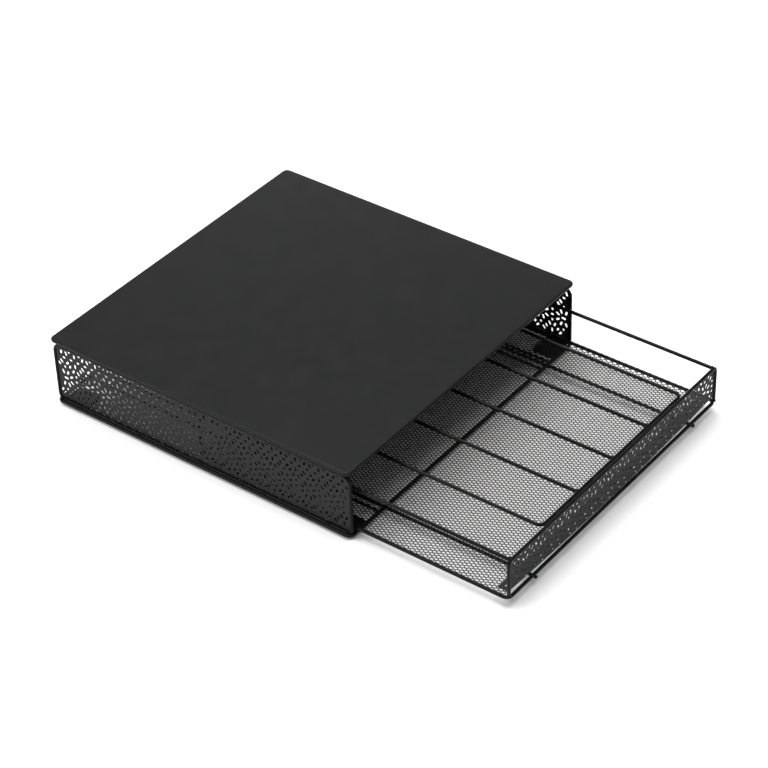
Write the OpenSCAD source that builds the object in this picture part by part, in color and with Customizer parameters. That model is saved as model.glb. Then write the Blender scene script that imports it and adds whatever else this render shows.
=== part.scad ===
// Free-standing pod drawer and appliance stand, in coated steel wire and sheet.
// A low casing carries a flat deck, and a wire drawer slides out of its front.
// Millimetres. +X is right as seen from the front, +Y runs to the back, +Z is up.
// The drawer is drawn part open, which is the joint's zero.

/* [Casing] */
// Width over the deck and the base loop
casing_w = 330; // [300:1:360]
// Depth of the deck, front to back
casing_d = 328; // [300:1:360]
// Height from the table to the top of the deck
casing_h = 71; // [68:0.5:90]
// Depth of the deck's folded edge
deck_edge = 3.4; // [2.4:0.1:6]
// Outer corner radius of the deck
deck_r = 5.5; // [4:0.5:10]
// Outer corner radius of both base loops
corner_r = 7; // [6:0.5:10]
// Width of the hem that the deck's edge turns back underneath
deck_hem = 12; // [6:1:20]

/* [Wire and sheet] */
// Diameter of the frame, rail, runner and divider wires
wire_d = 3.2; // [3:0.1:3.6]
// Diameter of the guide wires on the casing floor
guide_d = 2.6; // [2.4:0.1:2.8]
// Thickness of the deck, panel and floor sheet
sheet_t = 0.8; // [0.6:0.1:1]
// How far two crossing wires sink into each other at a weld
weld_sink = 0.6; // [0.4:0.1:1]
// Corner radius of the side frames, to the wire's centre
frame_bend = 7; // [6:0.5:12]

/* [Feet] */
// Side of the square corner plates that carry the pads
foot_size = 25; // [20:1:34]
// Thickness of a corner plate
foot_plate_t = 0.8; // [0.6:0.1:1.2]
// Thickness of a rubber pad
foot_pad_t = 1.2; // [1:0.1:3]

/* [Drawer] */
// Width over the drawer's base loop
drawer_w = 315.6; // [280:0.2:315.6]
// Depth over the drawer's base loop
drawer_d = 322; // [280:1:322]
// How far the drawer stands open in the drawn position
drawer_open = 152.5; // [20:0.5:160]
// Height of the drawer's rim wires above the table, to their centre
rim_z = 47.4; // [40:0.1:58]
// Distance between neighbouring divider wires
divider_pitch = 52.3; // [48:0.1:54]
// Depth of the front panel's inward flange
flange_d = 8; // [4:1:14]
// Clear height of that flange over the mesh floor
flange_rise = 2.2; // [0:0.1:3]
// Distance from the middle of the drawer to each runner wire
runner_x = 119.3; // [80:0.1:130]
// Distance between the two legs of a guide hairpin
guide_gap = 12.4; // [11:0.1:16]

/* [Hidden] */
$fn = 48;

wire_r = wire_d / 2;
loop_bend = corner_r - wire_r;                  // centre-line radius of the loops' corners
foot_h = foot_plate_t + foot_pad_t;
foot_r = 5;                                     // corner radius of the plates and the pads
foot_inset = 3.2;                               // and how far they lie inside the base loop's outline
deck_t = 1;                                     // the deck's sheet with its coat on both faces
side_sink = 0.1;                                // how far two wires welded side by side sink together
butt_sink = 0.2;                                // how far a wire's end sinks into the wire that it meets

// Casing levels and places. The casing's front is at y = 0 before the final shift.
base_z = foot_h + wire_r;                       // centre of the casing's base loop
base_x = casing_w / 2 - wire_r;
frame_x = base_x - wire_d + side_sink;          // the side frames stand just inside the base loop
frame_low_z = base_z;                           // and are welded to it, wire beside wire
deck_wire_z = casing_h - deck_edge - wire_r;      // the deck lies on two cross wires,
frame_top_z = deck_wire_z - wire_d + weld_sink;  // which lie across the side frames
frame_front_y = wire_r + 0.4;
frame_back_y = casing_d - wire_r;
deck_wire_inset = 14;
guide_z = foot_h + wire_d - weld_sink + guide_d / 2;
guide_front_y = 0.4;
guide_back_y = casing_d - wire_r - guide_gap / 2;

// Side panel: flat sheet with a curl along its bottom edge, clear of the drawer
curl_r = 6.5;
curl_angle = 46;
curl_rise = 4;                                  // height of the curl over the frame's bottom wire

// Drawer levels and places
front_proud = 0.6;                              // how far the closed drawer stands out past the deck
drawer_front_y = wire_r - front_proud - drawer_open; // centre of the base loop's front wire
drawer_back_y = drawer_front_y + drawer_d - wire_d;
drawer_x = drawer_w / 2 - wire_r;
runner_z = foot_h + wire_d + 0.3 + wire_r;      // 0.3 of running clearance over the base loop
drawer_base_z = runner_z + wire_d - weld_sink;
floor_z = runner_z + wire_r;                    // underside of the mesh floor
arch_x = drawer_x - 1.2;
arch_bend = 3.6;
arch_foot_z = drawer_base_z + wire_r - 0.5;
front_arch_y = drawer_front_y + 0.2;
back_arch_y = drawer_back_y;
rail_x = arch_x - arch_bend + 0.8;
panel_bend = 4;
flange_gap = 3;                                 // the flange stops short of the loop's corners
flange_z = floor_z + 1.5 * sheet_t + flange_rise;    // middle of the flange's thickness
divider_front_y = front_arch_y + wire_d;
divider_back_y = back_arch_y - wire_d;
divider_bend = 6;
runner_nose = 0.8;                              // how far a runner stands out past the front wire
runner_hook = 4.6;                              // drop of the runner's turned-down back end

// The origin is the middle of the whole object's footprint, at table level
lowest_y = drawer_front_y - wire_r - runner_nose;
shift_y = -(lowest_y + casing_d) / 2;

coat = [0.16, 0.165, 0.16];
coat_dark = [0.09, 0.09, 0.09];
mesh_grey = [0.3, 0.3, 0.3];
rubber = [0.05, 0.05, 0.05];

// Straight wires along each axis
module wire_along_x(x0, x1, d = wire_d) {
  translate([x0, 0, 0]) rotate([0, 90, 0]) cylinder(d = d, h = x1 - x0);
}
module wire_along_y(y0, y1, d = wire_d) {
  translate([0, y0, 0]) rotate([-90, 0, 0]) cylinder(d = d, h = y1 - y0);
}
module wire_along_z(z0, z1, d = wire_d) {
  translate([0, 0, z0]) cylinder(d = d, h = z1 - z0);
}

// Bend of a wire in the XY plane, from angle a0, about the bend's centre
module wire_bend(bend, a0, sweep, d = wire_d) {
  rotate([0, 0, a0]) rotate_extrude(angle = sweep) translate([bend, 0]) circle(d = d);
}

// Closed rectangular loop of wire in the XY plane, sized to the wire's centre line
module wire_loop(w, l, bend, d = wire_d) {
  for (s = [-1, 1]) {
    translate([s * w / 2, 0, 0]) wire_along_y(-l / 2 + bend, l / 2 - bend, d);
    translate([0, s * l / 2, 0]) wire_along_x(-w / 2 + bend, w / 2 - bend, d);
  }
  for (corner = [[1, 1, 0], [-1, 1, 90], [-1, -1, 180], [1, -1, 270]])
    translate([corner[0] * (w / 2 - bend), corner[1] * (l / 2 - bend), 0])
      wire_bend(bend, corner[2], 90, d);
}

// Upright arch of wire in the XZ plane: two legs and a top wire
module wire_arch(half_w, foot_z, top_z, bend) {
  for (s = [-1, 1]) translate([s * half_w, 0, 0]) wire_along_z(foot_z, top_z - bend);
  translate([0, 0, top_z]) wire_along_x(-half_w + bend, half_w - bend);
  for (corner = [[1, 0], [-1, 90]])
    translate([corner[0] * (half_w - bend), 0, top_z - bend])
      rotate([90, 0, 0]) wire_bend(bend, corner[1], 90);
}

// Rectangle with round corners
module rounded_rect(w, l, r) {
  square([w, l - 2 * r], center = true);
  square([w - 2 * r, l], center = true);
  for (sx = [-1, 1], sy = [-1, 1]) translate([sx * (w / 2 - r), sy * (l / 2 - r)]) circle(r);
}

// Bent strip of sheet in section: an arc of mid radius r from angle a0 through sweep
module sheet_arc(r, a0, sweep, t = sheet_t) {
  reach = 2 * (r + t);
  intersection() {
    difference() {
      circle(r + t / 2);
      circle(r - t / 2);
    }
    polygon([[0, 0], [reach * cos(a0), reach * sin(a0)],
             [reach * cos(a0 + sweep / 2), reach * sin(a0 + sweep / 2)],
             [reach * cos(a0 + sweep), reach * sin(a0 + sweep)]]);
  }
}

module placed() { translate([0, shift_y, 0]) children(); }

// Flat deck: a sheet whose edge folds down and turns back underneath
module top_deck() {
  color(coat) translate([0, casing_d / 2, casing_h - deck_edge]) {
    translate([0, 0, deck_edge - deck_t])
      linear_extrude(deck_t) rounded_rect(casing_w, casing_d, deck_r);
    linear_extrude(deck_edge - deck_t) difference() {
      rounded_rect(casing_w, casing_d, deck_r);
      rounded_rect(casing_w - 2 * deck_t, casing_d - 2 * deck_t, deck_r - deck_t);
    }
    linear_extrude(sheet_t) difference() {
      rounded_rect(casing_w, casing_d, deck_r);
      square([casing_w - 2 * deck_hem, casing_d - 2 * deck_hem], center = true);
    }
  }
}

module side_frame(side) {
  color(coat) translate([side * frame_x, casing_d / 2, (frame_low_z + frame_top_z) / 2])
    rotate([90, 0, 90])
      wire_loop(frame_back_y - frame_front_y, frame_top_z - frame_low_z, frame_bend);
}

// Perforated side panel: the sheet fills its frame, and its bottom edge curls inwards
module side_panel(side) {
  l = frame_back_y - frame_front_y - wire_d;
  h = frame_top_z - frame_low_z - wire_d;
  r = frame_bend - wire_r;
  color(coat) translate([side * frame_x, casing_d / 2, 0]) {
    translate([-sheet_t / 2, 0, (frame_low_z + frame_top_z) / 2]) rotate([90, 0, 90])
      linear_extrude(sheet_t) difference() {
        rounded_rect(l, h, r);
        translate([-l / 2 + r, -h / 2 - 1]) square([l - 2 * r, curl_rise + 1]);
      }
    translate([0, l / 2 - r, frame_low_z + wire_r + curl_rise]) rotate([90, 0, 0])
      linear_extrude(l - 2 * r) mirror([side > 0 ? 1 : 0, 0])
        translate([curl_r, 0]) sheet_arc(curl_r, 180, curl_angle);
  }
}

module casing_base_loop() {
  color(coat) translate([0, casing_d / 2, base_z])
    wire_loop(2 * base_x, casing_d - wire_d, loop_bend);
}

// Wires across the casing, from one side frame to the other, under the deck
module deck_wire(y) {
  color(coat) translate([0, y, deck_wire_z]) wire_along_x(-frame_x, frame_x);
}

// Hairpin on the casing floor: its two legs keep a runner in line, and its bend closes the back
module guide_wire(side) {
  color(coat_dark) translate([side * runner_x, 0, guide_z]) {
    for (s = [-1, 1])
      translate([s * guide_gap / 2, 0, 0]) wire_along_y(guide_front_y, guide_back_y, guide_d);
    translate([0, guide_back_y, 0]) wire_bend(guide_gap / 2, 0, 180, guide_d);
  }
}

// Square with one round corner, set into a corner of the base loop
module corner_outline(side, end) {
  inset = foot_size / 2 + foot_inset;
  translate([side * (casing_w / 2 - inset), end > 0 ? casing_d - inset : inset])
    rounded_rect(foot_size, foot_size, foot_r);
}
module corner_plate(side, end) {
  color(coat_dark) translate([0, 0, foot_pad_t])
    linear_extrude(foot_plate_t) corner_outline(side, end);
}
module foot_pad(side, end) {
  color(rubber) linear_extrude(foot_pad_t) corner_outline(side, end);
}

module drawer_base_loop() {
  color(coat) translate([0, (drawer_front_y + drawer_back_y) / 2, drawer_base_z])
    wire_loop(2 * drawer_x, drawer_back_y - drawer_front_y, loop_bend);
}

module drawer_arch(y) {
  color(coat) translate([0, y, 0]) wire_arch(arch_x, arch_foot_z, rim_z, arch_bend);
}

module top_rail(side) {
  color(coat) translate([side * rail_x, 0, rim_z])
    wire_along_y(front_arch_y + wire_r - butt_sink, back_arch_y - wire_r + butt_sink);
}

// Perforated front panel: the sheet hangs from the front frame and its foot bends inwards
module front_panel() {
  half = arch_x - wire_r;
  bend_z = flange_z + panel_bend;
  top = rim_z - wire_r;
  r = arch_bend - wire_r;
  color(coat) translate([0, front_arch_y, 0]) {
    translate([0, sheet_t / 2, 0]) rotate([90, 0, 0]) linear_extrude(sheet_t) {
      translate([-half, bend_z]) square([2 * half, top - r - bend_z]);
      translate([-half + r, top - r]) square([2 * (half - r), r]);
      for (s = [-1, 1]) translate([s * (half - r), top - r]) circle(r);
    }
    translate([-half + flange_gap, 0, 0]) rotate([90, 0, 90])
      linear_extrude(2 * (half - flange_gap)) {
        translate([panel_bend, bend_z]) sheet_arc(panel_bend, 180, 90);
        translate([panel_bend, flange_z - sheet_t / 2]) square([flange_d, sheet_t]);
      }
  }
}

// Expanded-mesh floor, drawn as the plain sheet that it is cut from, inside the base loop
module mesh_floor() {
  front = front_arch_y + panel_bend;
  back = drawer_back_y - wire_r;
  half = drawer_x - wire_r;
  r = loop_bend - wire_r;
  color(mesh_grey) translate([0, 0, floor_z]) linear_extrude(sheet_t) {
    translate([-half, front]) square([2 * half, back - r - front]);
    translate([-half + r, back - r]) square([2 * (half - r), r]);
    for (s = [-1, 1]) translate([s * (half - r), back - r]) circle(r);
  }
}

module divider_loop() {
  color(coat) translate([0, (divider_front_y + divider_back_y) / 2, rim_z])
    wire_loop(4 * divider_pitch, divider_back_y - divider_front_y, divider_bend);
}

module divider_wire(place) {
  color(coat) translate([place * divider_pitch, 0, rim_z])
    wire_along_y(divider_front_y + wire_r - butt_sink, divider_back_y - wire_r + butt_sink);
}

// Runner under the floor. Its turned-down back end catches behind the casing's front wire.
module runner_wire(side) {
  color(coat_dark) translate([side * runner_x, 0, runner_z]) {
    wire_along_y(drawer_front_y - wire_r - runner_nose, drawer_back_y);
    translate([0, drawer_back_y, 0]) {
      sphere(d = wire_d);
      wire_along_z(-runner_hook, 0);
    }
  }
}

placed() top_deck();
placed() side_frame(-1);  // left_side_frame
placed() side_frame(1);  // right_side_frame
placed() side_panel(-1);  // left_side_panel
placed() side_panel(1);  // right_side_panel
placed() casing_base_loop();
placed() deck_wire(deck_wire_inset);  // front_deck_wire
placed() deck_wire(casing_d - deck_wire_inset);  // back_deck_wire
placed() guide_wire(-1);  // left_guide_wire
placed() guide_wire(1);  // right_guide_wire
placed() corner_plate(-1, -1);  // front_left_corner_plate
placed() corner_plate(1, -1);  // front_right_corner_plate
placed() corner_plate(-1, 1);  // back_left_corner_plate
placed() corner_plate(1, 1);  // back_right_corner_plate
placed() foot_pad(-1, -1);  // front_left_foot_pad
placed() foot_pad(1, -1);  // front_right_foot_pad
placed() foot_pad(-1, 1);  // back_left_foot_pad
placed() foot_pad(1, 1);  // back_right_foot_pad
placed() drawer_base_loop();
placed() drawer_arch(front_arch_y);  // drawer_front_frame
placed() drawer_arch(back_arch_y);  // drawer_back_frame
placed() top_rail(-1);  // left_top_rail
placed() top_rail(1);  // right_top_rail
placed() front_panel();
placed() mesh_floor();
placed() divider_loop();
placed() divider_wire(-1);  // left_divider_wire
placed() divider_wire(0);  // centre_divider_wire
placed() divider_wire(1);  // right_divider_wire
placed() runner_wire(-1);  // left_runner_wire
placed() runner_wire(1);  // right_runner_wire
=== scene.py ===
"""Looks of a pod drawer stand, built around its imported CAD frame. Metres, row frame."""
import math

import bpy
import numpy as np
from mathutils import Matrix, Vector
from mathutils.geometry import delaunay_2d_cdt


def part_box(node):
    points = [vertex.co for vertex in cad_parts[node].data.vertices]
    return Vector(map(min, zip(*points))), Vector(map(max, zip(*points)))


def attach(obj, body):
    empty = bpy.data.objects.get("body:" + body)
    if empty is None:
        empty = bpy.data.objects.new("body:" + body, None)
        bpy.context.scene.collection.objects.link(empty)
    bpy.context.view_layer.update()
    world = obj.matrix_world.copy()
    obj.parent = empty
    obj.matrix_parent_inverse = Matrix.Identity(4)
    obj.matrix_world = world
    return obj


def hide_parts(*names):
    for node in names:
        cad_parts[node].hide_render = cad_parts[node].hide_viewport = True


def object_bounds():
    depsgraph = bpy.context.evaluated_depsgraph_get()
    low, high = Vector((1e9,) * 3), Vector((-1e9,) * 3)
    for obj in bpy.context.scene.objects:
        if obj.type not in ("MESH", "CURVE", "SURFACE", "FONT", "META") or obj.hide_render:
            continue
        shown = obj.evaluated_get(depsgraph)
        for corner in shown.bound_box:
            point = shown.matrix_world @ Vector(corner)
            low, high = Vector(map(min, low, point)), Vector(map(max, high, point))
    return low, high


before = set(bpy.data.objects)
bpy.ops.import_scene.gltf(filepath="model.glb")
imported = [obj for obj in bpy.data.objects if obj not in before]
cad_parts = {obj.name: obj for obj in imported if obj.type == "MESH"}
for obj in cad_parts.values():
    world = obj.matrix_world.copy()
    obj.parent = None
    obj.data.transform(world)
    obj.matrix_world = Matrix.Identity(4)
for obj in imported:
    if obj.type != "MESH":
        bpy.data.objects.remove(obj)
cad_low, cad_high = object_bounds()
MM = 0.001
RNG = np.random.default_rng(7)


def box_height(node):
    low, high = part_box(node)
    return high.z - low.z


# Wire and sheet sizes, read from the frame
WIRE_R = box_height("centre_divider_wire") / 2
GUIDE_R = box_height("left_guide_wire") / 2
SHEET = box_height("mesh_floor")

# Bends, as centre-line radii
LOOP_BEND = 5.4 * MM
FRAME_BEND = 7.0 * MM
ARCH_BEND = 3.6 * MM
DIVIDER_BEND = 6.0 * MM
HOOK_BEND = 2.4 * MM

# Weld beads: length and radius, then how many a side frame has and where an arch has them,
# as shares of the half width
WELDS = {
    "frame": (5 * MM, 0.85 * MM), "deck_wire": (4.4 * MM, 1.2 * MM), "guide_leg": (4.6 * MM, 1.5 * MM),
    "guide_turn": (5 * MM, 1.4 * MM), "arch": (6 * MM, 1.0 * MM), "runner": (4.4 * MM, 1.5 * MM),
}
FRAME_WELDS = 5
ARCH_WELDS = (-0.8, -0.27, 0.27, 0.8)

# Deck sheet: the radius of its folded edge, its hem's width, its corners in plan, and where its
# flat top starts
DECK_BEND = 1.4 * MM
DECK_HEM = 12 * MM
DECK_CORNER = 5.5 * MM
DECK_FLAT = 3 * MM

# Corner plates and foot pads: corners in plan, and the rounding of their edges
FOOT_CORNER = 5 * MM
PLATE_EDGE = 0.15 * MM
PAD_EDGE = 0.35 * MM

# Perforated sheets: their thickness, and how far the coat rounds a cut edge
PANEL_SHEET = 0.45 * MM
EDGE_ROUND = 0.1 * MM
# The side sheets' inward curl: radius, turn, and start over the frame's bottom wire
CURL_R = 6.8 * MM
CURL_ANGLE = math.radians(46)
CURL_RISE = 3.8 * MM
# The front sheet's bend, and how much lower its foot hangs in the middle than at its ends
PANEL_BEND = 4.0 * MM
FOOT_BOW = 4.2 * MM

# Slots: one flower of them repeats along a sheet
FLOWER_PITCH = 24.54 * MM
SLOT_MARGIN = 0.25 * MM
# A flower's centre: its height over the table or in the front sheet, and where the row starts,
# from the deck's front edge on the sides and from the middle on the front
SIDE_FLOWER_Z = 29.9 * MM
FRONT_FLOWER_Z = 29 * MM
FIRST_FLOWER = {"left": 21.7 * MM, "right": 8.6 * MM}
FRONT_FLOWER = 15.3 * MM
# One quarter of the flower, in mm: across, up, turn in degrees, length, width
QUARTER = [
    (0.0, 0.0, 0, 4.9, 2.5), (12.27, 0.0, 0, 3.3, 2.3), (6.3, 3.0, 35, 4.5, 2.2),
    (2.7, 6.5, 70, 4.7, 2.2), (12.27, 5.8, 90, 2.9, 2.2), (9.5, 10.6, 65, 4.5, 2.2),
    (0.0, 12.4, 90, 2.9, 2.1), (6.1, 14.4, 60, 3.9, 2.2), (3.4, 17.6, 50, 4.5, 2.2),
    (12.27, 17.2, 90, 4.5, 2.1), (0.0, 22.4, 0, 3.3, 2.2), (8.2, 22.5, 0, 3.3, 2.2),
    (2.7, 27.7, 110, 4.5, 2.2), (12.27, 27.7, 90, 4.3, 2.1), (6.5, 30.1, 0, 2.7, 1.6),
]

# Expanded mesh: staggered six-sided holes. A bond joins strands end to end, a knuckle side by side.
MESH_ACROSS = 3.37 * MM
MESH_ALONG = 6.4 * MM
MESH_STRAND = 0.74 * MM
MESH_BOND = 1.0 * MM
MESH_KNUCKLE = 1.03 * MM
MESH_SHEET = 0.3 * MM
MESH_TILT = 0.12 * MM
# Its edge rises over this width, this far inside the wire, and reaches this far past the wire's middle
MESH_RISE_WIDTH = 2.2 * MM
MESH_RISE_START = 3.6 * MM
MESH_OVERHANG = 1.2 * MM

# Camera, fitted to the photograph's perspective. Its aim is given from the deck's top middle.
CAMERA_AZIMUTH = math.radians(-51.67)
CAMERA_ELEVATION = math.radians(37.28)
CAMERA_ROLL = math.radians(-2.14)
CAMERA_DISTANCE = 2.2717
CAMERA_LENS = 123.2
CAMERA_AIM = Vector((-13.9 * MM, -85.65 * MM, -36 * MM))

# Soft lights: place, target, size and watts
SKY = 0.42
LIGHTS = {
    "key": ((-1.7, 1.5, 1.6), (0, 0.1, 0), (1.8, 1.2), 28),
    "top": ((0.05, 0.3, 2.15), (0, 0, 0), (2.2, 2.2), 68),
    "sheen": ((1.5, 1.2, 0.5), (0.05, 0.05, 0.07), (1.6, 0.5), 7),
}
FLOOR_SIZE = 6.0
FLOOR_GAP = 0.2 * MM


# ---------------------------------------------------------------- meshes
def piece(name, verts, faces, sharp=32):
    """A mesh object from numpy vertices and faces, smooth except at edges sharper than the angle."""
    mesh = bpy.data.meshes.new(name)
    mesh.from_pydata([tuple(v) for v in verts], [], [tuple(int(i) for i in f) for f in faces])
    mesh.validate()
    mesh.shade_smooth()
    mesh.set_sharp_from_angle(angle=math.radians(sharp))
    obj = bpy.data.objects.new(name, mesh)
    bpy.context.scene.collection.objects.link(obj)
    return obj


def merged(parts):
    """Several (vertices, faces) pairs as one."""
    verts, faces, count = [], [], 0
    for v, f in parts:
        verts.append(np.asarray(v, float))
        faces.extend([tuple(i + count for i in face) for face in f])
        count += len(v)
    return np.vstack(verts), faces


def arc_corner(before, corner, after, bend, steps=8):
    """Points that round a corner of a wire's centre line."""
    a = (Vector(before) - Vector(corner)).normalized()
    b = (Vector(after) - Vector(corner)).normalized()
    half = a.angle(b) / 2
    reach = bend / math.tan(half)
    centre = Vector(corner) + (a + b).normalized() * (bend / math.sin(half))
    start = Vector(corner) + a * reach - centre
    end = Vector(corner) + b * reach - centre
    return [centre + start.slerp(end, k / steps).normalized() * bend for k in range(steps + 1)]


def rounded_path(corners, bend, closed=False):
    """A wire's centre line through the given corners, with every inner corner rounded."""
    count = len(corners)
    points = []
    for k, corner in enumerate(corners):
        if closed or 0 < k < count - 1:
            points += arc_corner(corners[k - 1], corner, corners[(k + 1) % count], bend)
        else:
            points.append(Vector(corner))
    return points


def sweep(points, radius, closed=False, sides=24):
    """Round wire along a centre line, as (vertices, faces). Open ends are sheared off with a soft edge."""
    pts = [Vector(p) for p in points]
    count = len(pts)
    tangents = []
    for k in range(count):
        ahead = pts[(k + 1) % count] if closed or k < count - 1 else pts[k]
        behind = pts[k - 1] if closed or k > 0 else pts[k]
        tangents.append((ahead - behind).normalized())
    side = tangents[0].orthogonal().normalized()
    rings = []
    for k in range(count):
        if k:
            side = tangents[k - 1].rotation_difference(tangents[k]) @ side
        rings.append((pts[k], tangents[k], side, 1.0))
    if not closed:
        soft = [(0.0, 0.62), (0.16, 0.88), (0.42, 1.0)]
        first, last = rings[0], rings[-1]
        head = [(first[0] + first[1] * radius * d, first[1], first[2], s) for d, s in soft]
        tail = [(last[0] - last[1] * radius * d, last[1], last[2], s) for d, s in reversed(soft)]
        rings = head + rings[1:-1] + tail
    verts = []
    for centre, tangent, out, share in rings:
        across = tangent.cross(out)
        for j in range(sides):
            turn = 2 * math.pi * j / sides
            verts.append(centre + (out * math.cos(turn) + across * math.sin(turn)) * radius * share)
    faces = []
    spans = len(rings) if closed else len(rings) - 1
    for k in range(spans):
        a, b = k * sides, ((k + 1) % len(rings)) * sides
        for j in range(sides):
            n = (j + 1) % sides
            faces.append((a + j, a + n, b + n, b + j))
    if not closed:
        faces.append(tuple(reversed(range(sides))))
        faces.append(tuple(range((len(rings) - 1) * sides, len(rings) * sides)))
    return [tuple(v) for v in verts], faces


def bead(centre, axis, length, radius, sides=14, rings=8):
    """Weld bead: a lumpy spindle along an axis, as (vertices, faces)."""
    axis = Vector(axis).normalized()
    out = axis.orthogonal().normalized()
    across = axis.cross(out)
    verts = [Vector(centre) - axis * length / 2]
    for k in range(1, rings):
        t = k / rings
        swell = math.sin(math.pi * t) ** 0.5 * radius
        for j in range(sides):
            turn = 2 * math.pi * j / sides
            r = swell * (1 + 0.05 * RNG.standard_normal())
            step = axis * (t - 0.5) * length
            verts.append(Vector(centre) + step + (out * math.cos(turn) + across * math.sin(turn)) * r)
    verts.append(Vector(centre) + axis * length / 2)
    faces = [(0, 1 + (j + 1) % sides, 1 + j) for j in range(sides)]
    for k in range(rings - 2):
        a, b = 1 + k * sides, 1 + (k + 1) * sides
        faces += [(a + j, a + (j + 1) % sides, b + (j + 1) % sides, b + j) for j in range(sides)]
    top = len(verts) - 1
    last = top - sides
    faces += [(top, last + j, last + (j + 1) % sides) for j in range(sides)]
    return [tuple(v) for v in verts], faces


def collar(foot, axis, radius, flare=0.55 * MM, height=1.1 * MM, sides=24):
    """Fillet where a wire butts another: it flares from the wire's radius towards its foot."""
    axis = Vector(axis).normalized()
    out = axis.orthogonal().normalized()
    across = axis.cross(out)
    steps = 6
    profile = [(-0.6 * radius, 0.7 * radius)]
    for k in range(steps + 1):
        turn = math.pi / 2 * k / steps
        rise = height * math.sin(turn)
        profile.append((rise, radius + flare * (1 - math.sin(turn)) + 0.02 * MM))
    profile.append((height + 0.1 * MM, 0.9 * radius))
    verts = []
    for rise, r in profile:
        for j in range(sides):
            turn = 2 * math.pi * j / sides
            verts.append(Vector(foot) + axis * rise + (out * math.cos(turn) + across * math.sin(turn)) * r)
    faces = []
    for k in range(len(profile) - 1):
        a, b = k * sides, (k + 1) * sides
        faces += [(a + j, a + (j + 1) % sides, b + (j + 1) % sides, b + j) for j in range(sides)]
    faces.append(tuple(reversed(range(sides))))
    faces.append(tuple(range((len(profile) - 1) * sides, len(profile) * sides)))
    return [tuple(v) for v in verts], faces


def thick_sheet(name, flat, tris, place, thickness, soft=0.0):
    """Closed sheet metal from a flat triangulation. place turns flat points into points and normals.
    Its cut edges are rounded outwards by soft, as a coat of powder leaves them."""
    flat = np.asarray(flat, float)
    tris = np.asarray(tris, int)
    edges = np.vstack([tris[:, [0, 1]], tris[:, [1, 2]], tris[:, [2, 0]]])
    key = edges[:, 0] * len(flat) + edges[:, 1]
    twin = edges[:, 1] * len(flat) + edges[:, 0]
    rim = edges[~np.isin(key, twin)]
    run = flat[rim[:, 1]] - flat[rim[:, 0]]
    run /= np.maximum(np.linalg.norm(run, axis=1, keepdims=True), 1e-12)
    out = np.zeros_like(flat)
    normal = np.stack([run[:, 1], -run[:, 0]], 1)
    np.add.at(out, rim[:, 0], normal)
    np.add.at(out, rim[:, 1], normal)
    out /= np.maximum(np.linalg.norm(out, axis=1, keepdims=True), 1e-12)
    points, normals = place(flat)
    half = thickness / 2
    layers = [points + normals * half, points - normals * half]
    count = len(flat)
    levels = [0, 1]
    if soft:
        wide, up = place(flat + out * soft)
        layers += [wide + up * (half - soft), wide - up * (half - soft)]
        levels = [0, 2, 3, 1]
    faces = [tuple(t) for t in tris] + [tuple(t[::-1] + count) for t in tris]
    for high, low in zip(levels, levels[1:]):
        a, b = rim[:, 0], rim[:, 1]
        quads = np.stack([b + high * count, a + high * count, a + low * count, b + low * count], 1)
        faces += [tuple(q) for q in quads]
    return compact(name, np.vstack(layers), faces)


def compact(name, verts, faces):
    """A piece from vertices and faces, without the vertices that no face uses."""
    used = np.unique(np.concatenate([np.asarray(f) for f in faces]))
    renumber = np.full(len(verts), -1)
    renumber[used] = np.arange(len(used))
    return piece(name, verts[used], [tuple(renumber[list(f)]) for f in faces])


def slot_outline(x, y, turn, length, width, steps=6):
    """Outline of a round-ended slot, clockwise so that it reads as a hole."""
    straight = (length - width) / 2
    points = []
    for end in (0, 1):
        for k in range(steps + 1):
            a = math.pi * (end + k / steps) - math.pi / 2
            points.append(((1 - 2 * end) * straight + math.cos(a) * width / 2, math.sin(a) * width / 2))
    c, s = math.cos(turn), math.sin(turn)
    return [(x + c * u - s * v, y + s * u + c * v) for u, v in points]


def inside_sheet(outline, u0, u1, v0, v1, bend, margin):
    """Whether an outline lies inside a round-cornered rectangle, clear of its edge by the margin."""
    for u, v in outline:
        du = abs(u - (u0 + u1) / 2) - ((u1 - u0) / 2 - bend)
        dv = abs(v - (v0 + v1) / 2) - ((v1 - v0) / 2 - bend)
        if max(du, dv) > bend - margin or math.hypot(max(du, 0), max(dv, 0)) > bend - margin:
            return False
    return True


def flower_slots(u0, u1, v0, v1, bend, phase):
    """Slots of the flower pattern that lie wholly inside the sheet. phase is a flower's centre."""
    slots = set()
    first = math.floor((u0 - phase) / FLOWER_PITCH) - 1
    last = math.ceil((u1 - phase) / FLOWER_PITCH) + 1
    for k in range(first, last + 1):
        for across, up, turn, length, width in QUARTER:
            for sx in (-1, 1):
                for sy in (-1, 1):
                    u = phase + k * FLOWER_PITCH + sx * across * MM
                    angle = math.radians(turn * sx * sy) % math.pi
                    slots.add((round(u, 7), round(sy * up * MM, 7), round(angle, 5), length, width))
    kept, places = [], set()
    for u, v, angle, length, width in sorted(slots):
        spot = (round(u / (0.5 * MM)), round(v / (0.5 * MM)))
        outline = slot_outline(u, v, angle, length * MM, width * MM)
        if spot not in places and inside_sheet(outline, u0, u1, v0, v1, bend, SLOT_MARGIN):
            places.add(spot)
            kept.append(outline)
    return kept


def rounded_outline(u0, u1, v0, v1, top_bend, low_bend, steps=6):
    """Rectangle with round corners, counter-clockwise."""
    corners = [(u1, v1, top_bend, 0), (u0, v1, top_bend, 90),
               (u0, v0, low_bend, 180), (u1, v0, low_bend, 270)]
    points = []
    for u, v, bend, start in corners:
        cu = u - math.copysign(bend, u - (u0 + u1) / 2)
        cv = v - math.copysign(bend, v - (v0 + v1) / 2)
        count = steps if bend else 0
        for k in range(count + 1):
            a = math.radians(start + 90 * k / max(count, 1))
            points.append((cu + bend * math.cos(a), cv + bend * math.sin(a)))
    return points


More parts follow.
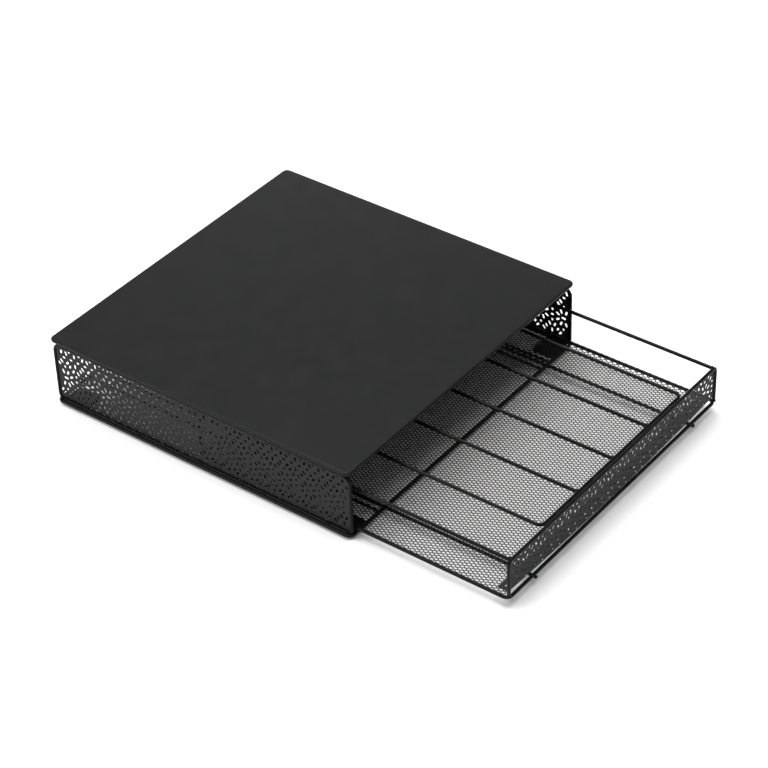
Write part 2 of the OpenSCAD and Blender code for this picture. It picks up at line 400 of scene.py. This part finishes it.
def perforated(outline, holes, folds):
    """Triangles of a flat sheet with holes. folds are heights where the sheet bends."""
    verts, faces, edges = list(outline), [list(range(len(outline)))], []
    for hole in holes:
        faces.append(list(range(len(verts), len(verts) + len(hole))))
        verts += hole
    u0 = min(p[0] for p in outline) - MM
    u1 = max(p[0] for p in outline) + MM
    for v in folds:
        edges.append((len(verts), len(verts) + 1))
        verts += [(u0, v), (u1, v)]
    result = delaunay_2d_cdt([Vector(p) / MM for p in verts], edges, faces, 0, 1e-5, True)
    points = np.array([tuple(p) for p in result[0]]) * MM
    tris = []
    for tri, origin in zip(result[2], result[5]):
        if list(origin) == [0]:
            a, b, c = (points[i] for i in tri)
            turned = (b[0] - a[0]) * (c[1] - a[1]) - (b[1] - a[1]) * (c[0] - a[0]) < 0
            tris.append(tuple(reversed(tri)) if turned else tuple(tri))
    return points, tris


# ---------------------------------------------------------------- materials
def coat(name, colour, roughness, grain=1.0, specular=0.5):
    """Powder coat: near-black, with the fine grain, faint mottling and pale specks of the real thing."""
    material = bpy.data.materials.new(name)
    material.use_nodes = True
    nodes, links = material.node_tree.nodes, material.node_tree.links
    shader = nodes["Principled BSDF"]
    shader.inputs["Specular IOR Level"].default_value = specular
    where = nodes.new("ShaderNodeTexCoord")
    cloud = nodes.new("ShaderNodeTexNoise")
    cloud.inputs["Scale"].default_value = 55
    cloud.inputs["Detail"].default_value = 4
    fine = nodes.new("ShaderNodeTexNoise")
    fine.inputs["Scale"].default_value = 1500
    fine.inputs["Detail"].default_value = 3
    tint = nodes.new("ShaderNodeValToRGB")
    tint.color_ramp.elements[0].position = 0.3
    tint.color_ramp.elements[1].position = 0.72
    tint.color_ramp.elements[0].color = (*[c * 0.95 for c in colour], 1)
    tint.color_ramp.elements[1].color = (*[c * 1.06 for c in colour], 1)
    speck = nodes.new("ShaderNodeValToRGB")
    speck.color_ramp.elements[0].position = 0.66
    speck.color_ramp.elements[1].position = 0.78
    speck.color_ramp.elements[0].color = (0, 0, 0, 1)
    speck.color_ramp.elements[1].color = (*[c * 0.55 for c in colour], 1)
    total = nodes.new("ShaderNodeMixRGB")
    total.blend_type = "ADD"
    total.inputs["Fac"].default_value = 1
    rough = nodes.new("ShaderNodeMapRange")
    rough.inputs["From Min"].default_value = 0.3
    rough.inputs["From Max"].default_value = 0.7
    rough.inputs["To Min"].default_value = roughness - 0.02
    rough.inputs["To Max"].default_value = roughness + 0.03
    bump = nodes.new("ShaderNodeBump")
    bump.inputs["Strength"].default_value = 0.35 * grain
    bump.inputs["Distance"].default_value = 0.00006
    for texture in (cloud, fine):
        links.new(where.outputs["Object"], texture.inputs["Vector"])
    links.new(cloud.outputs["Fac"], tint.inputs["Fac"])
    links.new(fine.outputs["Fac"], speck.inputs["Fac"])
    links.new(tint.outputs["Color"], total.inputs["Color1"])
    links.new(speck.outputs["Color"], total.inputs["Color2"])
    links.new(total.outputs["Color"], shader.inputs["Base Color"])
    links.new(cloud.outputs["Fac"], rough.inputs["Value"])
    links.new(rough.outputs["Result"], shader.inputs["Roughness"])
    links.new(fine.outputs["Fac"], bump.inputs["Height"])
    links.new(bump.outputs["Normal"], shader.inputs["Normal"])
    return material


DECK = coat("deck_coat", (0.0052, 0.0056, 0.0054), 0.33, 0.6, 0.13)
PANEL = coat("panel_coat", (0.0235, 0.0241, 0.0235), 0.45, 1.0, 0.06)
WIRE = coat("wire_coat", (0.004, 0.004, 0.004), 0.28, 1.0, 0.1)
MESH = coat("mesh_coat", (0.005, 0.0053, 0.005), 0.4, 1.0, 0.12)
PAD = coat("pad_rubber", (0.006, 0.006, 0.006), 0.75, 1.6, 0.1)
COATS = {"deck": DECK, "panel": PANEL, "wire": WIRE, "mesh": MESH, "rubber_pad": PAD}


def finish(obj, slot, body, *nodes):
    """Gives a piece its coat and its body, and hides the CAD nodes that it stands for."""
    obj.data.materials.append(COATS[slot])
    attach(obj, body)
    if nodes:
        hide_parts(*nodes)


# ---------------------------------------------------------------- places from the frame
def middle(node, inset):
    """A node's box, pulled in by a wire's radius: the box of its centre line."""
    low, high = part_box(node)
    grow = Vector((inset, inset, inset))
    return low + grow, high - grow


def flat_loop(node):
    """Corners of a wire loop that lies flat."""
    low, high = middle(node, WIRE_R)
    z = (low.z + high.z) / 2
    return [(high.x, high.y, z), (low.x, high.y, z), (low.x, low.y, z), (high.x, low.y, z)]


def upright_loop(node):
    """Corners of a wire loop that stands in a plane across X."""
    low, high = middle(node, WIRE_R)
    x = (low.x + high.x) / 2
    return [(x, high.y, high.z), (x, low.y, high.z), (x, low.y, low.z), (x, high.y, low.z)]


SIDES = {"left": -1, "right": 1}
casing_loop = middle("casing_base_loop", WIRE_R)
drawer_loop = middle("drawer_base_loop", WIRE_R)
front_arch = middle("drawer_front_frame", WIRE_R)
back_arch = middle("drawer_back_frame", WIRE_R)
divider = middle("divider_loop", WIRE_R)
front_arch_y = (front_arch[0].y + front_arch[1].y) / 2
back_arch_y = (back_arch[0].y + back_arch[1].y) / 2
rim_z = (divider[0].z + divider[1].z) / 2
casing_loop_z = (casing_loop[0].z + casing_loop[1].z) / 2
drawer_loop_z = (drawer_loop[0].z + drawer_loop[1].z) / 2


# ---------------------------------------------------------------- casing wires
def casing_base():
    wire = sweep(rounded_path(flat_loop("casing_base_loop"), LOOP_BEND, True), WIRE_R, True)
    finish(piece("base_loop_wire", *wire), "wire", "casing", "casing_base_loop")


def side_frame(side):
    node = side + "_side_frame"
    low, high = middle(node, WIRE_R)
    x = (low.x + high.x) / 2
    parts = [sweep(rounded_path(upright_loop(node), FRAME_BEND, True), WIRE_R, True)]
    seam_x = (x + SIDES[side] * casing_loop[1].x) / 2
    for k in range(FRAME_WELDS):
        y = low.y + FRAME_BEND + (high.y - low.y - 2 * FRAME_BEND) * (k + 0.25) / (FRAME_WELDS - 0.5)
        parts.append(bead((seam_x, y, low.z + 1.0 * MM), (0, 1, 0), *WELDS["frame"]))
    finish(piece(side + "_frame_wire", *merged(parts)), "wire", "casing", node)


def deck_wire(end):
    node = end + "_deck_wire"
    low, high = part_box(node)
    y, z = (low.y + high.y) / 2, (low.z + high.z) / 2
    parts = [sweep([(low.x, y, z), (high.x, y, z)], WIRE_R)]
    for sign in SIDES.values():
        spot = (sign * (high.x - 0.6 * WIRE_R), y, low.z + 0.3 * MM)
        parts.append(bead(spot, (0, 1, 0), *WELDS["deck_wire"]))
    finish(piece(end + "_cross_wire", *merged(parts)), "wire", "casing", node)


def guide(side):
    node = side + "_guide_wire"
    low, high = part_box(node)
    left, right = low.x + GUIDE_R, high.x - GUIDE_R
    z = (low.z + high.z) / 2
    x, bend = (left + right) / 2, (right - left) / 2
    turn_y = high.y - GUIDE_R - bend
    steps = 16
    points = [Vector((left, low.y, z))]
    for k in range(steps + 1):
        a = math.pi * (1 - k / steps)
        points.append(Vector((x + bend * math.cos(a), turn_y + bend * math.sin(a), z)))
    points.append(Vector((right, low.y, z)))
    parts = [sweep(points, GUIDE_R)]
    weld_z = (z + casing_loop_z) / 2
    for leg in (left, right):
        parts.append(bead((leg, casing_loop[0].y, weld_z), (0, 1, 0), *WELDS["guide_leg"]))
    parts.append(bead((x, casing_loop[1].y, weld_z), (1, 0, 0), *WELDS["guide_turn"]))
    finish(piece(side + "_guide_hairpin", *merged(parts)), "wire", "casing", node)


# ---------------------------------------------------------------- deck, plates and pads
def ring(centre, half_x, half_y, bend, z, steps=7):
    """One ring of points round a rounded rectangle."""
    points = []
    for sx, sy, start in ((1, 1, 0), (-1, 1, 90), (-1, -1, 180), (1, -1, 270)):
        for k in range(steps + 1):
            a = math.radians(start + 90 * k / steps)
            x = centre.x + sx * (half_x - bend) + bend * math.cos(a)
            y = centre.y + sy * (half_y - bend) + bend * math.sin(a)
            points.append((x, y, z))
    return points


def rounded_block(centre, half_x, half_y, bend, profile):
    """Closed solid with a rounded-rectangle plan. The profile lists (inset, height) from the middle of
    the top, over the edge, to the middle of the underside."""
    verts, faces = [], []
    for inset, z in profile:
        verts += ring(centre, half_x - inset, half_y - inset, max(bend - inset, 0.4 * MM), z)
    count = len(verts) // len(profile)
    for k in range(len(profile) - 1):
        a, b = k * count, (k + 1) * count
        faces += [(a + j, b + j, b + (j + 1) % count, a + (j + 1) % count) for j in range(count)]
    faces.append(tuple(range(count)))
    faces.append(tuple(reversed(range((len(profile) - 1) * count, len(profile) * count))))
    return verts, faces


def fold(inset, z, radius, start, sweep_by, steps=5):
    """Stations of a round fold in the profile of a sheet's edge, about a centre at (inset, z)."""
    stations = []
    for k in range(steps + 1):
        a = math.radians(start + sweep_by * k / steps)
        stations.append((inset - radius * math.cos(a), z + radius * math.sin(a)))
    return stations


def deck():
    """The deck is one sheet: its edge folds down and hems back underneath."""
    low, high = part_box("top_deck")
    centre = (low + high) / 2
    half_x, half_y = (high.x - low.x) / 2, (high.y - low.y) / 2
    middle_inset = DECK_HEM + 2 * MM
    top_fold, low_fold = high.z - DECK_BEND, low.z + DECK_BEND
    inner = DECK_BEND - SHEET
    profile = [(middle_inset, high.z), (DECK_FLAT, high.z)]
    profile += fold(DECK_BEND, top_fold, DECK_BEND, 90, -90)
    profile += fold(DECK_BEND, low_fold, DECK_BEND, 0, -90)
    profile += [(DECK_HEM, low.z), (DECK_HEM, low.z + SHEET)]
    profile += fold(DECK_BEND, low_fold, inner, -90, 90)
    profile += fold(DECK_BEND, top_fold, inner, 0, 90)
    profile += [(middle_inset, high.z - SHEET)]
    block = rounded_block(centre, half_x, half_y, DECK_CORNER, profile)
    finish(piece("deck_sheet", *block), "deck", "casing", "top_deck")


def soft_plate(name, node, edge):
    """Flat plate or pad with rounded corners and edges."""
    low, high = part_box(node)
    half_x, half_y = (high.x - low.x) / 2, (high.y - low.y) / 2
    profile = [(2 * edge, high.z)] + fold(edge, high.z - edge, edge, 90, -90, 3)
    profile += fold(edge, low.z + edge, edge, 0, -90, 3) + [(2 * edge, low.z)]
    return piece(name, *rounded_block((low + high) / 2, half_x, half_y, FOOT_CORNER, profile))


def feet():
    for end in ("front", "back"):
        for side in SIDES:
            place = f"{end}_{side}"
            plate = soft_plate(place + "_plate", place + "_corner_plate", PLATE_EDGE)
            finish(plate, "wire", "casing", place + "_corner_plate")
            pad = soft_plate(place + "_pad", place + "_foot_pad", PAD_EDGE)
            finish(pad, "rubber_pad", "casing", place + "_foot_pad")


# ---------------------------------------------------------------- perforated panels
def side_panel(side):
    """Side sheet: flat in its frame, then curled inwards along the bottom."""
    sign = SIDES[side]
    frame_low, frame_high = middle(side + "_side_frame", WIRE_R)
    x = (frame_low.x + frame_high.x) / 2
    u0, u1 = sorted((sign * (frame_low.y + WIRE_R), sign * (frame_high.y - WIRE_R)))
    top = frame_high.z - WIRE_R
    curl_z = frame_low.z + WIRE_R + CURL_RISE
    v1 = top - SIDE_FLOWER_Z
    fold_v = curl_z - SIDE_FLOWER_Z
    v0 = fold_v - CURL_R * CURL_ANGLE
    bend = FRAME_BEND - WIRE_R
    phase = sign * (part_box("top_deck")[0].y + FIRST_FLOWER[side])
    steps = 8
    folds = [fold_v - CURL_R * CURL_ANGLE * k / steps for k in range(steps)]
    outline = rounded_outline(u0, u1, v0, v1, bend, bend)
    holes = flower_slots(u0, u1, v0, v1, bend, phase)
    flat, tris = perforated(outline, holes, folds)

    def place(uv):
        turn = np.clip((fold_v - uv[:, 1]) / CURL_R, 0, None)
        inward = CURL_R * (1 - np.cos(turn))
        rise = np.where(turn > 0, fold_v - CURL_R * np.sin(turn), uv[:, 1])
        points = np.stack([x - sign * inward, sign * uv[:, 0], SIDE_FLOWER_Z + rise], 1)
        normals = np.stack([sign * np.cos(turn), 0 * turn, -np.sin(turn)], 1)
        return points, normals

    sheet = thick_sheet(side + "_perforated_side", flat, tris, place, PANEL_SHEET, EDGE_ROUND)
    finish(sheet, "panel", "casing", side + "_side_panel")


def front_panel():
    """Front sheet: hangs from the arch, and its foot bends inwards over the mesh."""
    low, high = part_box("front_panel")
    u0, u1 = low.x, high.x
    flange = high.y - front_arch_y - PANEL_BEND
    fold_z = low.z + SHEET / 2 + PANEL_BEND
    bend_length = PANEL_BEND * math.pi / 2
    v1 = high.z
    v0 = fold_z - bend_length - flange
    steps = 8
    folds = [fold_z - bend_length * k / steps for k in range(steps + 1)]
    bend = ARCH_BEND - WIRE_R
    outline = rounded_outline(u0, u1, v0, v1, bend, 0)
    slots = flower_slots(u0, u1, v0 - FRONT_FLOWER_Z, v1 - FRONT_FLOWER_Z, bend, FRONT_FLOWER)
    holes = [[(u, v + FRONT_FLOWER_Z) for u, v in slot] for slot in slots]
    flat, tris = perforated(outline, holes, folds)

    def place(uv):
        drop = np.clip(fold_z - uv[:, 1], 0, bend_length)
        turn = drop / PANEL_BEND
        run = np.clip(fold_z - uv[:, 1] - bend_length, 0, None)
        y = front_arch_y + PANEL_BEND * (1 - np.cos(turn)) + run
        z = np.where(uv[:, 1] > fold_z, uv[:, 1], fold_z - PANEL_BEND * np.sin(turn))
        low_share = np.clip((v1 - uv[:, 1]) / (v1 - fold_z), 0, 1)
        z += low_share * (FOOT_BOW * (uv[:, 0] / u1) ** 2 - FOOT_BOW / 2)
        points = np.stack([uv[:, 0], y, z], 1)
        normals = np.stack([0 * turn, -np.cos(turn), -np.sin(turn)], 1)
        return points, normals

    sheet = thick_sheet("perforated_front", flat, tris, place, PANEL_SHEET, EDGE_ROUND)
    finish(sheet, "panel", "drawer", "front_panel")


# ---------------------------------------------------------------- expanded mesh floor
def mesh_half(side):
    """Half of the expanded mesh. Its cut strands lie over the base loop's wire at the side and back."""
    sign = SIDES[side]
    low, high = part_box("mesh_floor")
    z0 = (low.z + high.z) / 2
    half_a, half_l = MESH_ACROSS / 2, MESH_ALONG / 2
    strand = MESH_STRAND / 2
    slope = (half_l - MESH_BOND) / half_a
    lean = math.hypot(1, slope)
    tip = half_l - MESH_BOND / 2 - strand * lean
    side_x = half_a - MESH_KNUCKLE / 2
    side_y = tip - side_x * slope
    corners = [(side_x, -side_y), (side_x, side_y), (0, tip),
               (-side_x, side_y), (-side_x, -side_y), (0, -tip)]
    reach_x = drawer_loop[1].x + MESH_OVERHANG
    front, back = low.y, drawer_loop[1].y + MESH_OVERHANG
    columns = int((reach_x - half_a) / half_a)
    rows = range(int(front / half_l) - 1, int(back / half_l) + 2)

    def present(i, j):
        x, y = i * half_a, j * half_l
        inside = abs(i) <= columns and front + tip < y < back - tip
        return inside and (i + j) % 2 == 0 and abs(x) <= reach_x - half_a

    def mine(i):
        return i >= 0 if sign > 0 else i < 0

    index, verts = {}, []

    def vertex(i, j, c):
        key = (i, j, c)
        if key not in index:
            index[key] = len(verts)
            cx, cy = corners[c]
            verts.append((i * half_a + cx, j * half_l + cy, np.sign(cx)))
        return index[key]

    tris = []

    def quad(a, b, c, d):
        tris.append((a, b, c))
        tris.append((a, c, d))

    span = range(0, columns + 2) if sign > 0 else range(-columns - 2, 1)
    for i in span:
        for j in rows:
            if (i + j) % 2:
                continue
            here = present(i, j) and mine(i)
            east = present(i + 2, j) and mine(i + 2)
            up_east = present(i + 1, j + 1) and mine(i + 1)
            up_west = present(i - 1, j + 1) and mine(i - 1)
            down_east = present(i + 1, j - 1) and mine(i + 1)
            if here or east:
                quad(vertex(i, j, 0), vertex(i + 2, j, 4), vertex(i + 2, j, 3), vertex(i, j, 1))
            if here or up_east:
                quad(vertex(i, j, 1), vertex(i + 1, j + 1, 5), vertex(i + 1, j + 1, 4), vertex(i, j, 2))
            if here or up_west:
                quad(vertex(i, j, 2), vertex(i - 1, j + 1, 0), vertex(i - 1, j + 1, 5), vertex(i, j, 3))
            if here or east or up_east:
                tris.append((vertex(i, j, 1), vertex(i + 2, j, 3), vertex(i + 1, j + 1, 5)))
            if here or east or down_east:
                tris.append((vertex(i, j, 0), vertex(i + 1, j - 1, 2), vertex(i + 2, j, 4)))
    flat = np.array([v[:2] for v in verts])
    tilt = np.array([v[2] for v in verts]) * MESH_TILT
    wrap = WIRE_R + MESH_SHEET / 2

    def place(uv):
        beyond = np.maximum(np.abs(uv[:, 0]) - drawer_loop[1].x, uv[:, 1] - drawer_loop[1].y)
        over = drawer_loop_z + np.sqrt(np.clip(wrap ** 2 - beyond ** 2, 0, None))
        rise = np.clip((beyond + MESH_RISE_START) / MESH_RISE_WIDTH, 0, 1)
        rise = rise * rise * (3 - 2 * rise)
        z = z0 + (np.maximum(over, z0) - z0) * rise
        points = np.stack([uv[:, 0], uv[:, 1], z + tilt], 1)
        normals = np.tile([0.0, 0.0, 1.0], (len(uv), 1))
        return points, normals

    sheet = thick_sheet(side + "_mesh", flat, tris, place, MESH_SHEET)
    if sign > 0:
        finish(sheet, "mesh", "drawer", "mesh_floor")
    else:
        finish(sheet, "mesh", "drawer")


# ---------------------------------------------------------------- drawer wires
def drawer_base():
    wire = sweep(rounded_path(flat_loop("drawer_base_loop"), LOOP_BEND, True), WIRE_R, True)
    finish(piece("tray_loop_wire", *wire), "wire", "drawer", "drawer_base_loop")


def arch(end):
    node = f"drawer_{end}_frame"
    low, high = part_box(node)
    y = (low.y + high.y) / 2
    left, right, top = low.x + WIRE_R, high.x - WIRE_R, high.z - WIRE_R
    corners = [(left, y, low.z), (left, y, top), (right, y, top), (right, y, low.z)]
    parts = [sweep(rounded_path(corners, ARCH_BEND), WIRE_R)]
    for x in (left, right):
        parts.append(collar((x, y, low.z + 0.3 * MM), (0, 0, 1), WIRE_R, 0.5 * MM, 1.3 * MM))
    seam = divider[0].y if end == "front" else divider[1].y
    for share in ARCH_WELDS:
        spot = (share * divider[1].x, (y + seam) / 2, rim_z + 0.55 * MM)
        parts.append(bead(spot, (1, 0, 0), *WELDS["arch"]))
    finish(piece(f"{end}_arch_wire", *merged(parts)), "wire", "drawer", node)


def straight_wire(name, node):
    """Straight wire along Y, with a weld fillet at each end."""
    low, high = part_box(node)
    x, z = (low.x + high.x) / 2, (low.z + high.z) / 2
    parts = [sweep([(x, low.y, z), (x, high.y, z)], WIRE_R)]
    parts.append(collar((x, low.y, z), (0, 1, 0), WIRE_R))
    parts.append(collar((x, high.y, z), (0, -1, 0), WIRE_R))
    finish(piece(name, *merged(parts)), "wire", "drawer", node)


def divider_frame():
    wire = sweep(rounded_path(flat_loop("divider_loop"), DIVIDER_BEND, True), WIRE_R, True)
    finish(piece("divider_frame_wire", *wire), "wire", "drawer", "divider_loop")


def runner(side):
    node = side + "_runner_wire"
    low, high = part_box(node)
    x, z = (low.x + high.x) / 2, high.z - WIRE_R
    back = high.y - WIRE_R
    path = rounded_path([(x, low.y, z), (x, back, z), (x, back, low.z)], HOOK_BEND)
    parts = [sweep(path, WIRE_R)]
    weld_z = (z + drawer_loop_z) / 2
    for y in (drawer_loop[0].y, drawer_loop[1].y - 0.4 * MM):
        parts.append(bead((x, y, weld_z), (1, 0, 0), *WELDS["runner"]))
    finish(piece(side + "_runner_rod", *merged(parts)), "wire", "drawer", node)


# ---------------------------------------------------------------- the object
casing_base()
for side in SIDES:
    side_frame(side)
    side_panel(side)
    guide(side)
for end in ("front", "back"):
    deck_wire(end)
deck()
feet()
drawer_base()
for end in ("front", "back"):
    arch(end)
for side in SIDES:
    straight_wire(side + "_rail", side + "_top_rail")
    runner(side)
    mesh_half(side)
divider_frame()
for place in ("left", "centre", "right"):
    straight_wire(place + "_lane_wire", place + "_divider_wire")
front_panel()


# ---------------------------------------------------------------- floor, light and camera
def floor():
    size = FLOOR_SIZE
    verts = [(-size, -size, 0), (size, -size, 0), (size, size, 0), (-size, size, 0)]
    plane = piece("studio_floor", verts, [(0, 1, 2, 3)])
    plane.location.z = cad_low.z - FLOOR_GAP
    material = bpy.data.materials.new("studio_white")
    material.use_nodes = True
    shader = material.node_tree.nodes["Principled BSDF"]
    shader.inputs["Base Color"].default_value = (0.95, 0.95, 0.95, 1)
    shader.inputs["Roughness"].default_value = 0.9
    shader.inputs["Specular IOR Level"].default_value = 0.1
    plane.data.materials.append(material)


def softbox(name, place, target, size, watts):
    data = bpy.data.lights.new(name, "AREA")
    data.shape = "RECTANGLE"
    data.size, data.size_y = size
    data.energy = watts
    lamp = bpy.data.objects.new(name, data)
    lamp.location = place
    lamp.rotation_mode = "QUATERNION"
    lamp.rotation_quaternion = (Vector(target) - Vector(place)).to_track_quat("-Z", "Y")
    bpy.context.scene.collection.objects.link(lamp)


def studio():
    world = bpy.data.worlds.new("studio")
    bpy.context.scene.world = world
    world.use_nodes = True
    sky = world.node_tree.nodes["Background"]
    sky.inputs["Color"].default_value = (1, 1, 1, 1)
    sky.inputs["Strength"].default_value = SKY
    for name, light in LIGHTS.items():
        softbox(name, *light)
    bpy.context.scene.view_settings.view_transform = "Standard"


def camera():
    """The view is from the front left, above, and a little turned about its own axis."""
    deck_low, deck_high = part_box("top_deck")
    deck_middle = Vector((0, (deck_low.y + deck_high.y) / 2, deck_high.z))
    level_share = math.cos(CAMERA_ELEVATION)
    back = Vector((math.sin(CAMERA_AZIMUTH) * level_share, -math.cos(CAMERA_AZIMUTH) * level_share,
                   math.sin(CAMERA_ELEVATION)))
    data = bpy.data.cameras.new("view")
    data.sensor_width = 36
    data.lens = CAMERA_LENS
    data.clip_end = 50
    cam = bpy.data.objects.new("view", data)
    cam.location = deck_middle + CAMERA_AIM + back * CAMERA_DISTANCE
    cam.rotation_mode = "QUATERNION"
    level = (-back).to_track_quat("-Z", "Y")
    cam.rotation_quaternion = level @ Matrix.Rotation(CAMERA_ROLL, 4, "Z").to_quaternion()
    bpy.context.scene.collection.objects.link(cam)
    bpy.context.scene.camera = cam


floor()
studio()
camera()
